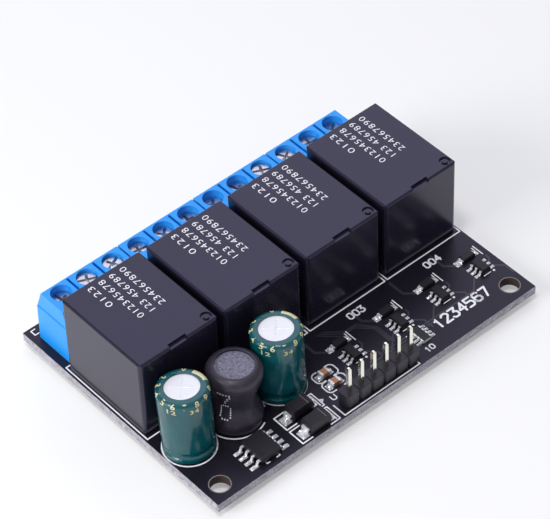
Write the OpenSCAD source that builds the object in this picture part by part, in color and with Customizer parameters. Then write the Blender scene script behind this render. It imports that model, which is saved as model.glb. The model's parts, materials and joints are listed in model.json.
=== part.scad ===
// Four-channel relay module board.
// A row of four sealed relays stands between twelve rising-cage screw terminals
// and the drive electronics along the near edge.
// Frame: X along the long edge, Y from the near edge to the wire side, Z up.
// The origin is the centre of the board outline, level with the trimmed pin tips.
// Places on the board are measured from its near left corner, as in a board layout.

/* [Board] */
// Clear strip at both ends of the relay row
board_margin = 0.7; // [0.3:0.05:5]
// Thickness of the laminate
board_t = 1.6; // [0.8:0.1:3.2]
// Diameter of the mounting holes
mount_hole_d = 3.2; // [2.2:0.1:3.6]
// Mounting hole centre to the board's left or right edge
mount_inset_x = 2.85; // [2.5:0.05:4]
// Mounting hole centre to the near edge
mount_inset_y = 2.95; // [2.5:0.05:4]
// How far the trimmed pin tails stand out under the board
tail = 1.4; // [1:0.1:3]
// Height of a solder fillet under the board
solder_h = 0.9; // [0.4:0.05:0.95]

/* [Relays] */
// Relay case size along X
relay_l = 15.3; // [12.5:0.05:20]
// Relay case size along Y
relay_w = 19; // [12:0.1:24]
// Height of the relay case top above its underside
relay_h = 15.2; // [8:0.1:20]
// Clear distance between neighbouring relays
relay_space = 1.2; // [0.2:0.1:4]
// Standoff nubs that lift the case off the board
relay_stand = 0.3; // [0.1:0.1:0.8]
// Clear distance between the relays and the terminal blocks
relay_gap = 0.6; // [0.2:0.1:3]
// Corner radius of the upright edges of the case
relay_corner_r = 0.7; // [0.2:0.1:2]
// Edge radius round the top of the case
relay_edge_r = 0.4; // [0.1:0.05:1]
// Diameter of the vent dimple in the top of the case
relay_vent_d = 1.9; // [1:0.1:2]
// Centre of the vent to the right and front faces of the case
relay_vent_in = [1.3, 1.35]; // [1.2:0.05:3]
// Width of the latch notch in the front top edge of the case
relay_notch_w = 3.4; // [1.5:0.1:6]
// Depth of the base plate that closes the case underneath
relay_base_t = 1.2; // [0.6:0.1:3]
// Wall of the case round the base plate
relay_wall = 0.8; // [0.5:0.1:1.5]

/* [Terminal blocks] */
// Distance between neighbouring poles
term_pitch = 5.08; // [4.8:0.01:7.62]
// Play between neighbouring blocks
term_gap = 0.1; // [0.02:0.01:0.5]
// Depth of a block at its foot, along Y
term_depth = 7.7; // [7.2:0.05:12]
// Height of a block
term_h = 11; // [10.6:0.1:16]
// Height of the knee where the wire side starts to lean in
term_knee_h = 7.5; // [7:0.1:8.2]
// Foot of the wire side to the far edge of the board
term_setback = 2.5; // [0.5:0.1:6]
// Offset of the row from the middle of the board
term_offset = -0.95; // [-1.5:0.05:1.5]
// Diameter of the screwdriver wells
term_well_d = 3.45; // [3:0.05:3.9]
// Depth of the screwdriver wells
term_well_h = 3.5; // [2.9:0.1:4]
// Width of a wire entry
term_entry_w = 3.6; // [2.5:0.1:3.8]
// Height of a wire entry
term_entry_h = 4; // [3:0.1:4.2]
// Wall between a pole's chamber and the end of the block
term_wall = 0.5; // [0.4:0.05:0.8]
// Width of the slots that part the poles on top
term_slot_w = 0.45; // [0.2:0.05:0.8]
// Depth of those slots
term_slot_h = 2.4; // [0.5:0.1:4]
// Step by which the ends of a block are set in above the knee
term_step = 0.12; // [0.05:0.01:0.3]
// Screw axis to the foot of the wire side
screw_in = 3.6; // [3.45:0.05:3.95]
// Clearance between a clamping screw's head and its well, over both sides
screw_play = 0.3; // [0.1:0.05:0.5]
// Height of a clamping screw's head
screw_head_h = 2; // [0.8:0.1:2]
// Diameter of a clamping screw's shank
screw_d = 2.4; // [1.6:0.1:2.5]
// How far each clamping screw is wound out, from left to right
screw_out = [0, 0.85, 0.85, 0.3, 0.3, 0, 0, 0, 0.85, 0.6, 0.3, 0]; // [0:0.05:0.85]
// Wall of a clamp cage
cage_wall = 0.45; // [0.3:0.05:0.6]
// Thickness of a cage's threaded roof
cage_roof = 1; // [0.95:0.05:1.3]
// Length of a clamp cage along the wire
cage_d = 3.4; // [2.6:0.1:4]

/* [Pin header] */
// Number of pins
header_n = 6; // [2:1:6]
// Pin pitch
header_pitch = 2.54; // [2:0.01:2.54]
// Width and height of the header's plastic body
header_body = 2.5; // [2:0.1:3]
// Side of the square pins
header_pin = 0.64; // [0.4:0.02:0.7]
// Pin length above the plastic
header_reach = 5; // [3:0.1:12]
// Lift of the plastic body off the board
header_lift = 0.05; // [0:0.05:0.5]
// Corner cut on the plastic between neighbouring positions
header_notch = 0.35; // [0.1:0.05:0.6]
// First pin, from the board's left edge
header_x = 28.1; // [26.2:0.05:30]
// Clear distance between the plastic body and the near edge
header_edge = 0.8; // [0.2:0.05:2]

/* [Capacitors] */
// Diameter of a capacitor can without its sleeve
can_d = 8; // [5:0.1:10]
// Height of a can
can_h = 12.3; // [7:0.1:16]
// Thickness of the shrink sleeve
sleeve_t = 0.15; // [0.1:0.01:0.3]
// Diameter of the bare disc that the sleeve leaves on top
can_bare_d = 5.5; // [2:0.05:6.5]
// Clear height under the lowest point of a can's rim
can_stand = 0.05; // [0.05:0.05:2]
// Lead spacing
can_lead_pitch = 3.5; // [1.5:0.1:5]
// Clear distance between the board's left edge and the first capacitor
can_edge = 0.25; // [0.1:0.05:5]
// Clear distance between the feet of the capacitors and the relays
can_relay_gap = 1.7; // [1.5:0.1:6]
// How much nearer to the near edge the second capacitor stands
can_step = 0.2; // [0:0.05:0.4]
// How far each capacitor leans towards the relays, in degrees
can_lean = [3.5, 2]; // [0:0.5:5]

/* [Choke] */
// Diameter of the choke's ferrite flanges
choke_d = 8; // [6.8:0.1:10]
// Height of the choke
choke_h = 10.6; // [7:0.1:14]
// Waist diameter, over the winding
choke_waist_d = 5.8; // [4.5:0.1:6.7]
// Thickness of each flange
choke_flange = 1; // [1:0.1:3]
// Thickness of the choke's shrink sleeve
choke_sleeve_t = 0.45; // [0.2:0.05:0.6]
// Diameter of the bare disc of ferrite on top
choke_bare_d = 6.3; // [3:0.1:6.8]
// Radius of the ferrite's top edge
choke_round = 0.9; // [0.2:0.05:1]
// Lead spacing
choke_lead_pitch = 5; // [3:0.1:5.5]
// Clear distances from the choke to the capacitors at its left and right
choke_gap = [0.4, 0.5]; // [0.3:0.05:4]
// How far the choke leans to the right, in degrees
choke_lean = 2; // [0:0.5:2.5]

/* [Small parts] */
// Centre of the voltage regulator, from the left edge and the near edge
regulator_at = [11.75, 3.75]; // [3.5:0.05:60]
// Middles of the far and the near rectifier diode, from the left edge
rectifier_x = [21, 21.2]; // [18.5:0.05:22.5]
// Clear distances up the board: near edge, rectifier, rectifier, capacitor
rectifier_gap = [0.5, 1.25, 0.75]; // [0.2:0.05:3]
// Clear distance between the second capacitor and the chip capacitors
chip_gap = 1.4; // [0.4:0.05:3]
// Distances of the two chip capacitors from the near edge
chip_y = [8.7, 6.25]; // [5:0.05:12]
// Middle of the first channel's parts to the chip capacitors
channel_first = 5.2; // [2.5:0.05:8]
// Middle of the last channel's parts to the board's right edge
channel_last = 3.7; // [2:0.05:10]
// Distance of the driver chips from the near edge
driver_y = 8.75; // [7.5:0.05:9]
// Distance of the clamp diodes from the near edge
clamp_y = 11.9; // [11.2:0.05:13]
// Distance of the resistor array from the near edge
array_y = 4.6; // [2:0.05:5.2]

/* [Hidden] */
$fn = 48;
eps = 0.01;
// One relay and one terminal block for each channel, three poles in a block
relay_n = 4;
term_poles = 3;
channels = [1:relay_n];

// Levels above the board's top face are negative below it
under = -board_t;
tips = -board_t - tail;

function both(v) = [for (s = [-1, 1]) s * v];

// Moulded packages: size, draft of the sides, height of the underside
soic = [3.9, 4.9, 1.45];
soic_draft = 0.12;
soic_stand = 0.12;
sma = [4.1, 2.6, 2];
sma_draft = 0.2;
sma_stand = 0.2;
sot = [1.6, 2.9, 1.05];
sot_draft = 0.1;
sot_stand = 0.08;
sod = [2.4, 1.4, 0.8];
sod_draft = 0.1;
sod_stand = 0.06;
// Bare chips: size, and the metal of their ends
chip = [1.65, 1.15, 0.85];
chip_end = 0.35;
chip_plate = 0.04;
array_body = [1.5, 3.2, 0.55];
array_contact = [0.22, 0.45];

// Front strip, from the near edge back to the relays
can_r = can_d / 2 + sleeve_t;
choke_r = choke_d / 2;
choke_wrap = choke_r + choke_sleeve_t;
rectifier_y2 = rectifier_gap[0] + sma[1] / 2;
rectifier_y1 = rectifier_y2 + sma[1] + rectifier_gap[1];
can_y = rectifier_y1 + sma[1] / 2 + rectifier_gap[2] + can_r;
strip_w = can_y + can_r + can_relay_gap;
rectifier_at = [[rectifier_x[0], rectifier_y1], [rectifier_x[1], rectifier_y2]];
choke_at = [can_edge + 2 * can_r + choke_gap[0] + choke_wrap, can_y - 0.1];
can_x = [can_edge + can_r, choke_at[0] + choke_wrap + choke_gap[1] + can_r];
can_at = [[can_x[0], can_y], [can_x[1], can_y - can_step]];
chip_x = can_x[1] + can_r + chip_gap + chip[0] / 2;
chip_at = [for (y = chip_y) [chip_x, y]];

// Board: as long as the longer of the two rows, as wide as the strips in a stack
relay_pitch = relay_l + relay_space;
relay_row = relay_n * relay_pitch - relay_space;
block_l = term_poles * term_pitch;
block_step = block_l + term_gap;
term_row = relay_n * block_step - term_gap;
board_l = max(relay_row, term_row + 2 * abs(term_offset)) + 2 * board_margin;
board_w = strip_w + relay_w + relay_gap + term_depth + term_setback;

// How the channels share the room between the chip capacitors and the right edge
channel_x = [for (f = [0, 0.36, 0.68, 1])
    (1 - f) * (chip_x + chip[0] / 2 + channel_first) + f * (board_l - channel_last)];
array_at = [channel_x[1] + 0.65, array_y];

// Relay row: centred on the board's length
relay_y = strip_w + relay_w / 2;
function relay_x(i) = board_l / 2 + (i - (relay_n + 1) / 2) * relay_pitch;
// Pins of a changeover relay: common, two coil ends, normally open and closed
relay_blade = [1, 0.5];
relay_coil_pin = 0.6;
relay_drill = 1.3;
relay_pin_dx = relay_l / 2 - 1.65;
relay_com = [0, 2.4 - relay_w / 2];
relay_coil = [for (s = [-1, 1]) [s * relay_pin_dx, 4.4 - relay_w / 2]];
relay_contacts = [for (s = [-1, 1]) [s * relay_pin_dx, relay_w / 2 - 2.4]];
relay_grip = relay_base_t - 0.4;

// Terminal row
term_y = board_w - term_setback;
function block_x(i) = board_l / 2 + term_offset + (i - (relay_n + 1) / 2) * block_step;
pole_x = [for (k = [1:term_poles]) (k - (term_poles + 1) / 2) * term_pitch];
// The block's section, from the foot of the wire side
knee_y = -0.3;
top_back_y = -1.57;
front_lean = 0.6;
chamber_w = term_pitch - 2 * term_wall;
chamber_y = [0.95 - term_depth, -1.35];
screw_y = -screw_in;
screw_head_d = term_well_d - screw_play;
head_z = term_h - term_well_h;
ceiling = 0.5;
chamber_z = [0.8, head_z - ceiling];
entry_z = 1.5;
entry_flare = 0.25;
cage_w = chamber_w - 0.2;
cage_z = [chamber_z[0] + 0.25, chamber_z[1] - 0.65];
bar_w = cage_w - 2 * cage_wall - 0.1;
bar_t = 0.8;
bar_z = cage_z[1] - cage_roof - 0.15 - bar_t;
bar_y = [chamber_y[0] + 0.15, chamber_y[1] - 0.45];
term_pin = [1, 0.8];
term_pin_y = bar_y[0] + term_pin[1] / 2;
term_drill = 1.4;

// Header
header_drill = 1;
header_xy = [for (k = [0:header_n - 1]) [header_x + k * header_pitch, header_edge + header_body / 2]];

// Radial parts
lead_d = 0.6;
lead_drill = 0.9;
bung_d = can_d - 1.4;
bung_h = 0.8;
groove_z = 1.4;
groove_r = 0.7;
groove_in = 0.25;
shoulder_r = 0.7;
choke_stand = 0.3;

function relay_at(i) = [relay_x(i), relay_y];

relay_blade_xy = [for (i = channels) for (p = concat([relay_com], relay_contacts)) p + relay_at(i)];
relay_coil_xy = [for (i = channels) for (p = relay_coil) p + relay_at(i)];
term_xy = [for (i = channels) for (x = pole_x) [block_x(i) + x, term_y + term_pin_y]];
can_lead_xy = [for (p = can_at) for (dx = both(can_lead_pitch / 2)) p + [dx, 0]];
choke_lead_xy = [for (dx = both(choke_lead_pitch / 2)) choke_at + [dx, 0]];

// ---------------------------------------------------------------- helpers

// Puts children at a place measured from the board's near left corner, on its top face
module place(at) translate([at[0] - board_l / 2, at[1] - board_w / 2, tail + board_t]) children();

// A rectangle with true round corners
module round_rect(size, r) {
    square([size[0] - 2 * r, size[1]], center = true);
    square([size[0], size[1] - 2 * r], center = true);
    for (x = both(size[0] / 2 - r), y = both(size[1] / 2 - r)) translate([x, y]) circle(r);
}

// A box that stands on z = 0, centred in x and y
module block(size) translate([-size[0] / 2, -size[1] / 2, 0]) cube(size);

// Extrudes an (x, z) outline across y, centred
module across(w) translate([0, w / 2, 0]) rotate([90, 0, 0]) linear_extrude(w) children();

// Extrudes a (y, z) outline along x, centred
module along(l) translate([-l / 2, 0, 0]) rotate([90, 0, 90]) linear_extrude(l) children();

// Six-sided outline of a moulded package: widest at the parting line, drafted above and below
module draft_outline(w, h, draft) polygon([
    [-w / 2 + draft, 0], [w / 2 - draft, 0], [w / 2, h / 2],
    [w / 2 - draft, h], [-w / 2 + draft, h], [-w / 2, h / 2]]);

module moulded(size, draft) intersection() {
    across(size[1] + eps) draft_outline(size[0], size[2], draft);
    along(size[0] + eps) draft_outline(size[1], size[2], draft);
}

// A gull-wing lead that leaves a package at x = 0 and stands on z = 0 at its toe
module gull(reach, rise, foot, t, w) across(w) polygon([
    [-t, rise + t / 2], [reach - foot - t, rise + t / 2], [reach - foot + t / 2, t], [reach, t],
    [reach, 0], [reach - foot, 0], [reach - foot - 1.5 * t, rise - t / 2], [-t, rise - t / 2]]);

// A tab that leaves a package, drops down its end and folds under it
module fold_tab(reach, rise, foot, t, w) across(w) polygon([
    [-t, rise], [reach, rise], [reach, 0], [reach - foot, 0],
    [reach - foot, t], [reach - t, t], [reach - t, rise - t], [-t, rise - t]]);

// Children once at each end of a package
module ends(l) for (a = [0, 180]) rotate(a) translate([l / 2, 0, 0]) children();

// Leads at both ends of a moulded package, cut flush with its drafted sides
module lead_rows(size, draft, stand, rows) difference() {
    ends(size[0]) for (y = rows) translate([0, y, 0]) children();
    translate([0, 0, stand]) moulded(size, draft);
}

// ---------------------------------------------------------------- board

module drills(list, d) for (p = list) translate(p) circle(d = d);

module circuit_board() color("#26242c") place([0, 0]) translate([0, 0, under])
    linear_extrude(board_t) difference() {
        square([board_l, board_w]);
        drills([for (x = [mount_inset_x, board_l - mount_inset_x]) [x, mount_inset_y]], mount_hole_d);
        drills(header_xy, header_drill);
        drills(term_xy, term_drill);
        drills(concat(relay_blade_xy, relay_coil_xy), relay_drill);
        drills(concat(can_lead_xy, choke_lead_xy), lead_drill);
    }

// ---------------------------------------------------------------- relays

module relay_cover_solid() intersection() {
    linear_extrude(relay_h) round_rect([relay_l, relay_w], relay_corner_r);
    along(relay_l + eps) translate([0, relay_h / 2 - relay_edge_r])
        round_rect([relay_w, relay_h + 2 * relay_edge_r], relay_edge_r);
    across(relay_w + eps) translate([0, relay_h / 2 - relay_edge_r])
        round_rect([relay_l, relay_h + 2 * relay_edge_r], relay_edge_r);
}

module relay_plate(play, h = relay_base_t) linear_extrude(h)
    round_rect([relay_l - 2 * relay_wall - play, relay_w - 2 * relay_wall - play], relay_corner_r / 2);

// Sealed case: solid above its base plate, with a latch notch and a vent dimple on top
module relay_cover(i) color("#3b3845") place(relay_at(i)) translate([0, 0, relay_stand]) difference() {
    relay_cover_solid();
    translate([0, 0, -eps]) relay_plate(0, relay_base_t + eps);
    translate([0, -relay_w / 2, relay_h - 0.5]) block([relay_notch_w, 1.6, 1]);
    translate([relay_l / 2 - relay_vent_in[0], relay_vent_in[1] - relay_w / 2, relay_h - 0.3]) difference() {
        cylinder(d = relay_vent_d, h = 1);
        cylinder(d = relay_vent_d / 2, h = 1);
    }
}

module relay_pins_solid() {
    translate([0, 0, tips]) {
        for (p = concat([relay_com], relay_contacts)) translate(p)
            block([relay_blade[0], relay_blade[1], relay_stand + relay_grip - tips]);
        for (p = relay_coil) translate(p)
            block([relay_coil_pin, relay_coil_pin, relay_stand + relay_grip - tips]);
    }
}

// Base plate with standoff nubs, moulded round the pins
module relay_base(i) color("#1c1b20") place(relay_at(i)) difference() {
    union() {
        translate([0, 0, relay_stand]) relay_plate(0.1);
        for (x = both(relay_l / 2 - 2.2), y = both(1)) translate([x, y * relay_w / 5, 0])
            cylinder(d = 1.2, h = relay_stand + eps);
    }
    relay_pins_solid();
}

module relay_pins(i) color("silver") place(relay_at(i)) relay_pins_solid();

// ---------------------------------------------------------------- terminal blocks

module term_outline() polygon([
    [0, 0], [knee_y, term_knee_h], [top_back_y, term_h], [-term_depth + front_lean, term_h],
    [-term_depth, term_knee_h], [-term_depth, 0]]);

// One pole: chamber, wire entry with a flared mouth, screw well and the hole for the shank
module pole_cavity() {
    translate([0, chamber_y[0], chamber_z[0]]) translate([-chamber_w / 2, 0, 0])
        cube([chamber_w, chamber_y[1] - chamber_y[0], chamber_z[1] - chamber_z[0]]);
    translate([-term_entry_w / 2, chamber_y[1] - eps, entry_z]) cube([term_entry_w, 3, term_entry_h]);
    translate([-term_entry_w / 2 - entry_flare, -0.95, entry_z - entry_flare])
        cube([term_entry_w + 2 * entry_flare, 3, term_entry_h + 2 * entry_flare]);
    translate([0, screw_y, head_z]) cylinder(d = term_well_d, h = term_h);
    translate([0, screw_y, chamber_z[1] - eps]) cylinder(d = screw_d + 0.3, h = term_h);
}

module terminal_housing(i) color("#2f8cf0") place([block_x(i), term_y]) difference() {
    along(block_l) term_outline();
    for (x = pole_x) translate([x, 0, 0]) pole_cavity();
    // slots between the poles
    for (k = [1:term_poles - 1]) translate([pole_x[k] - term_pitch / 2, 0, 0])
        translate([-term_slot_w / 2, -term_depth - eps, term_h - term_slot_h])
            cube([term_slot_w, term_depth + top_back_y - 0.28, term_slot_h + 1]);
    // the ends are set in above the knee
    for (s = [-1, 1]) translate([s * block_l / 2, 0, term_knee_h])
        translate([-term_step, -term_depth - 1, 0]) cube([2 * term_step, term_depth + 2, term_h]);
    // slots in the floor for the contact pins
    for (x = pole_x) translate([x, term_pin_y, -eps]) block([term_pin[0], term_pin[1], 2 * chamber_z[0]]);
}

// Rising cage: an open box with a threaded roof
module cage() translate([0, screw_y, cage_z[0]]) difference() {
    block([cage_w, cage_d, cage_z[1] - cage_z[0]]);
    translate([0, 0, cage_wall])
        block([cage_w - 2 * cage_wall, cage_d + 1, cage_z[1] - cage_z[0] - cage_wall - cage_roof]);
    translate([0, 0, 2 * cage_wall]) cylinder(d = screw_d, h = term_h);
}

module terminal_cages(i) color("#c9c6bd") place([block_x(i), term_y])
    for (x = pole_x) translate([x, 0, 0]) cage();

// Fixed contact: a bar through the cage, with its solder pin bent down
module contact() {
    translate([-bar_w / 2, bar_y[0], bar_z]) cube([bar_w, bar_y[1] - bar_y[0], bar_t]);
    translate([0, term_pin_y, tips]) block([term_pin[0], term_pin[1], bar_z + bar_t - tips]);
}

module terminal_contacts(i) color("#b9b6ac") place([block_x(i), term_y])
    for (x = pole_x) translate([x, 0, 0]) contact();

// Clamping screw with a through slot and a shorter cross slot, turned by an angle and wound out
module screw(turn, out) translate([0, 0, out]) {
    difference() {
        translate([0, 0, head_z]) cylinder(d = screw_head_d, h = screw_head_h);
        rotate(turn) translate([0, 0, head_z + screw_head_h - 0.7]) {
            block([screw_head_d + 1, 0.5, 1]);
            block([0.5, screw_head_d * 0.7, 1]);
        }
    }
    translate([0, 0, bar_z + bar_t + 0.1]) cylinder(d = screw_d, h = head_z - bar_z - bar_t - 0.1 + eps);
}

module terminal_screws() color("silver") for (i = channels) place([block_x(i), term_y])
    for (k = [0:term_poles - 1]) translate([pole_x[k], screw_y, 0]) let (n = (i - 1) * term_poles + k) screw(40 + 50 * k + 65 * i, screw_out[n]);

// ---------------------------------------------------------------- header

module header_outline() polygon([
    for (s = [[1, 1], [-1, 1], [-1, -1], [1, -1]], k = [0, 1])
        let (flip = (s[0] * s[1] > 0) ? k : 1 - k,
             hx = header_pitch / 2, hy = header_body / 2)
        [s[0] * (hx - (flip ? header_notch : 0)), s[1] * (hy - (flip ? 0 : header_notch))]]);

module header_body() color("#17161b") difference() {
    for (p = header_xy) place(p) translate([0, 0, header_lift])
        linear_extrude(header_body) header_outline();
    for (p = header_xy) place(p) block([header_pin, header_pin, 2 * header_body]);
    // score lines where the strip is broken to length
    for (k = [1:header_n - 1]) place((header_xy[k - 1] + header_xy[k]) / 2)
        translate([0, 0, header_lift + header_body - 0.12]) block([0.16, header_body + 1, 1]);
}

// Square pin, tapered to a blunt point at both ends
module header_pin_outline() let (
    top = header_lift + header_body + header_reach, h = header_pin / 2, a = 0.55 * h, tip = 0.3)
    polygon([[-a, tips], [a, tips], [h, tips + tip], [h, top - tip],
        [a, top], [-a, top], [-h, top - tip], [-h, tips + tip]]);

module header_pin_solid() intersection() {
    along(header_pin + eps) header_pin_outline();
    across(header_pin + eps) header_pin_outline();
}

module header_pins() color("#e6e2d2") for (p = header_xy) place(p) header_pin_solid();

// ---------------------------------------------------------------- capacitors

// Half outline of the can, grown by g: a crimp groove near the foot and a rounded shoulder
function can_side(g) = let (r = can_d / 2 + g) concat(
    [[r, 0]],
    [for (a = [-60:20:60]) [r - groove_in * (cos(a) - 0.5) * 2, groove_z + groove_r * sin(a) / sin(60)]],
    [for (a = [0:15:90]) [r - shoulder_r + shoulder_r * cos(a), can_h + g - shoulder_r + shoulder_r * sin(a)]]);

// Height of the middle of a leaning can's rim, so that its lowest point clears the board
function can_base(i) = can_stand + can_r * sin(can_lean[i - 1]);

// Turns a capacitor about the point where its leads meet the bung
module leaning(i) place(can_at[i - 1]) translate([0, 0, can_base(i)])
    rotate([-can_lean[i - 1], 0, 0]) children();

module can_solid() rotate_extrude() polygon(concat([[0, bung_h], [bung_d / 2, bung_h], [bung_d / 2, 0]],
    can_side(0), [[0, can_h]]));

module capacitor_can(i) color("#dfe2e6") leaning(i) difference() {
    can_solid();
    // scored vent cross
    for (a = [45, 135]) rotate(a) translate([0, 0, can_h - 0.1]) block([can_bare_d * 0.8, 0.2, 1]);
}

module capacitor_sleeve(i) color("#0f6a6c") leaning(i) difference() {
    rotate_extrude() polygon(concat([[can_bare_d / 2, 0]], can_side(sleeve_t), [[can_bare_d / 2, can_h + sleeve_t]]));
    can_solid();
    translate([0, 0, -1]) cylinder(d = can_d - 1, h = can_h - 1);
}

module can_leads(i) place(can_at[i - 1]) for (x = both(can_lead_pitch / 2))
    translate([x, 0, tips]) cylinder(d = lead_d, h = can_base(i) + 0.6 * bung_h - tips);

// Rubber bung, moulded round the leads
module capacitor_bung(i) color("#202024") difference() {
    leaning(i) cylinder(d = bung_d, h = bung_h);
    can_leads(i);
}

module capacitor_leads(i) color("silver") can_leads(i);

// ---------------------------------------------------------------- choke

choke_waist_r = choke_waist_d / 2;
choke_top = choke_stand + choke_h;
// Outline of the wound drum, grown by g: two flanges with the winding drawn in between them
function choke_side(g) = concat(
    [[choke_r + g, choke_stand]],
    [[choke_r + g, choke_stand + choke_flange]],
    [for (u = [0.06:0.055:0.95]) [choke_r + g - (choke_r - choke_waist_r) * pow(sin(180 * pow(u, 0.85)), 1.7),
        choke_stand + choke_flange + u * (choke_h - 2 * choke_flange)]],
    [[choke_r + g, choke_top - choke_flange]],
    [for (a = [0:15:90]) [choke_r - choke_round + (choke_round + g) * cos(a),
        choke_top - choke_round + (choke_round + g) * sin(a)]]);

module drum_solid() rotate_extrude() polygon(concat([[0, choke_stand]], choke_side(0), [[0, choke_top]]));

module choke_spool() union() {
    translate([0, 0, choke_stand]) cylinder(r = choke_r, h = choke_flange);
    translate([0, 0, choke_stand]) cylinder(r = choke_waist_r / 2, h = choke_h);
    intersection() {
        drum_solid();
        translate([0, 0, choke_top - choke_flange]) cylinder(r = choke_r, h = choke_flange + 1);
    }
}

// Tips the choke about the middle of its underside
module choke_leaning() place(choke_at) translate([0, 0, choke_stand]) rotate([0, choke_lean, 0])
    translate([0, 0, -choke_stand]) children();

module choke_core() color("#5b5862") choke_leaning() choke_spool();

module choke_winding() color("#b0622e") choke_leaning() difference() {
    drum_solid();
    translate([0, 0, choke_stand - 1]) cylinder(r = choke_r + 1, h = choke_flange + 1);
    translate([0, 0, choke_top - choke_flange]) cylinder(r = choke_r + 1, h = choke_flange + 1);
    cylinder(r = choke_waist_r / 2, h = choke_top);
}

module choke_sleeve() color("#232127") choke_leaning() difference() {
    rotate_extrude() polygon(concat([[choke_bare_d / 2, choke_stand]], choke_side(choke_sleeve_t),
        [[choke_bare_d / 2, choke_top + choke_sleeve_t]]));
    drum_solid();
}

// Leads, cut flush with the tipped underside of the core
module choke_leads() color("silver") difference() {
    place(choke_at) for (x = both(choke_lead_pitch / 2))
        translate([x, 0, tips]) cylinder(d = lead_d, h = 2 * choke_stand - tips);
    choke_leaning() translate([0, 0, choke_stand]) cylinder(r = choke_r, h = choke_h);
}

// ---------------------------------------------------------------- chip packages

// Voltage regulator in an eight-lead package
soic_rows = [for (k = [-1.5:1:1.5]) k * 1.27];

module regulator_body() color("#2b2833") place(regulator_at) translate([0, 0, soic_stand]) difference() {
    moulded(soic, soic_draft);
    translate([-1.3, -1.8, soic[2] - 0.06]) cylinder(d = 0.6, h = 1);
}

module regulator_leads() color("silver") place(regulator_at)
    lead_rows(soic, soic_draft, soic_stand, soic_rows) gull(1.05, 0.85, 0.45, 0.2, 0.42);

// Moulded rectifier with tabs folded under it
module rectifier_body(i) color("#1e1c21") place(rectifier_at[i - 1]) translate([0, 0, sma_stand])
    moulded(sma, sma_draft);

module rectifier_tabs(i) color("silver") place(rectifier_at[i - 1])
    lead_rows(sma, sma_draft, sma_stand, [0]) fold_tab(0.42, 1.25, 1.3, 0.2, 1.45);

module chip_capacitor_body(i) color("#b98a6e") place(chip_at[i - 1]) translate([0, 0, chip_plate])
    block([chip[0] - 2 * chip_end, chip[1], chip[2]]);

module chip_capacitor_ends(i) color("silver") place(chip_at[i - 1])
    for (x = both(chip[0] / 2 - chip_end / 2)) translate([x, 0, 0])
        block([chip_end, chip[1] + 2 * chip_plate, chip[2] + 2 * chip_plate]);

// Six-lead driver chips, one for each channel
module driver_bodies() color("#1d1b21") for (x = channel_x) place([x, driver_y])
    translate([0, 0, sot_stand]) moulded(sot, sot_draft);

module driver_leads() color("silver") for (x = channel_x) place([x, driver_y])
    lead_rows(sot, sot_draft, sot_stand, [-0.95, 0, 0.95]) gull(0.6, 0.6, 0.28, 0.14, 0.4);

// Clamp diodes, one across each relay coil
module clamp_diode_bodies() color("#1d1b21") for (x = channel_x) place([x, clamp_y])
    translate([0, 0, sod_stand]) moulded(sod, sod_draft);

module clamp_diode_tabs() color("silver") for (x = channel_x) place([x, clamp_y])
    lead_rows(sod, sod_draft, sod_stand, [0]) gull(0.65, 0.44, 0.3, 0.15, 0.95);

array_rows = [for (k = [-1.5:1:1.5]) k * 0.8];

module resistor_array_body() color("#17161a") place(array_at) block(array_body);

module resistor_array_contacts() color("silver") place(array_at) ends(array_body[0])
    for (y = array_rows) translate([array_contact[0] / 2, y, 0])
        block([array_contact[0], array_contact[1], array_body[2]]);

// ---------------------------------------------------------------- solder

// A concave fillet of solder under the board, round a pin of the given outline
module fillet(pin_r, pad_r) rotate_extrude() polygon(concat(
    [[0, 0], [pad_r, 0]],
    [for (a = [0:18:90]) [pin_r + (pad_r - pin_r) * (1 - sin(a)), -0.08 - (solder_h - 0.08) * (1 - cos(a))]],
    [[0, -solder_h]]));

module joints(list, pin, pad_d) for (p = list) place(p) translate([0, 0, under]) difference() {
    fillet(norm(pin) / 2 + 0.12, pad_d / 2);
    translate([0, 0, -2]) block([pin[0], pin[1], 4]);
}

module round_joints(list, pad_d) for (p = list) place(p) translate([0, 0, under]) difference() {
    fillet(lead_d / 2 + 0.12, pad_d / 2);
    translate([0, 0, -2]) cylinder(d = lead_d, h = 4);
}

module solder_joints() color("#c8ccd2") {
    joints(header_xy, [header_pin, header_pin], 1.8);
    joints(term_xy, term_pin, 2.4);
    joints(relay_blade_xy, relay_blade, 2.4);
    joints(relay_coil_xy, [relay_coil_pin, relay_coil_pin], 2.2);
    round_joints(concat(can_lead_xy, choke_lead_xy), 1.7);
}

// ---------------------------------------------------------------- the assembly

circuit_board();
for (i = channels) {
    relay_cover(i);
    relay_base(i);
    relay_pins(i);
    terminal_housing(i);
    terminal_cages(i);
    terminal_contacts(i);
}
terminal_screws();
header_body();
header_pins();
for (i = [1, 2]) {
    capacitor_can(i);
    capacitor_sleeve(i);
    capacitor_bung(i);
    capacitor_leads(i);
    rectifier_body(i);
    rectifier_tabs(i);
    chip_capacitor_body(i);
    chip_capacitor_ends(i);
}
choke_core();
choke_winding();
choke_sleeve();
choke_leads();
regulator_body();
regulator_leads();
driver_bodies();
driver_leads();
clamp_diode_bodies();
clamp_diode_tabs();
resistor_array_body();
resistor_array_contacts();
solder_joints();
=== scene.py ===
# %% [markdown]
# # A four-relay board
# A small black circuit board carries four cube relays, a row of blue screw
# terminals, a pin header and the parts that drive the relays. The solid parts
# come from the CAD model as a fixed frame. This lesson gives them their
# finishes and adds what is too thin for the CAD model: the white print, the
# solder on the pads, the copper under the mask and the marks on the sleeves.

# %% [markdown]
# ## Loading the frame
# Its parts stay where they are.

# %% Load the frame
import itertools
import json
import math
import random
import bpy
import bmesh
from mathutils import Matrix, Vector
from mathutils.bvhtree import BVHTree


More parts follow.
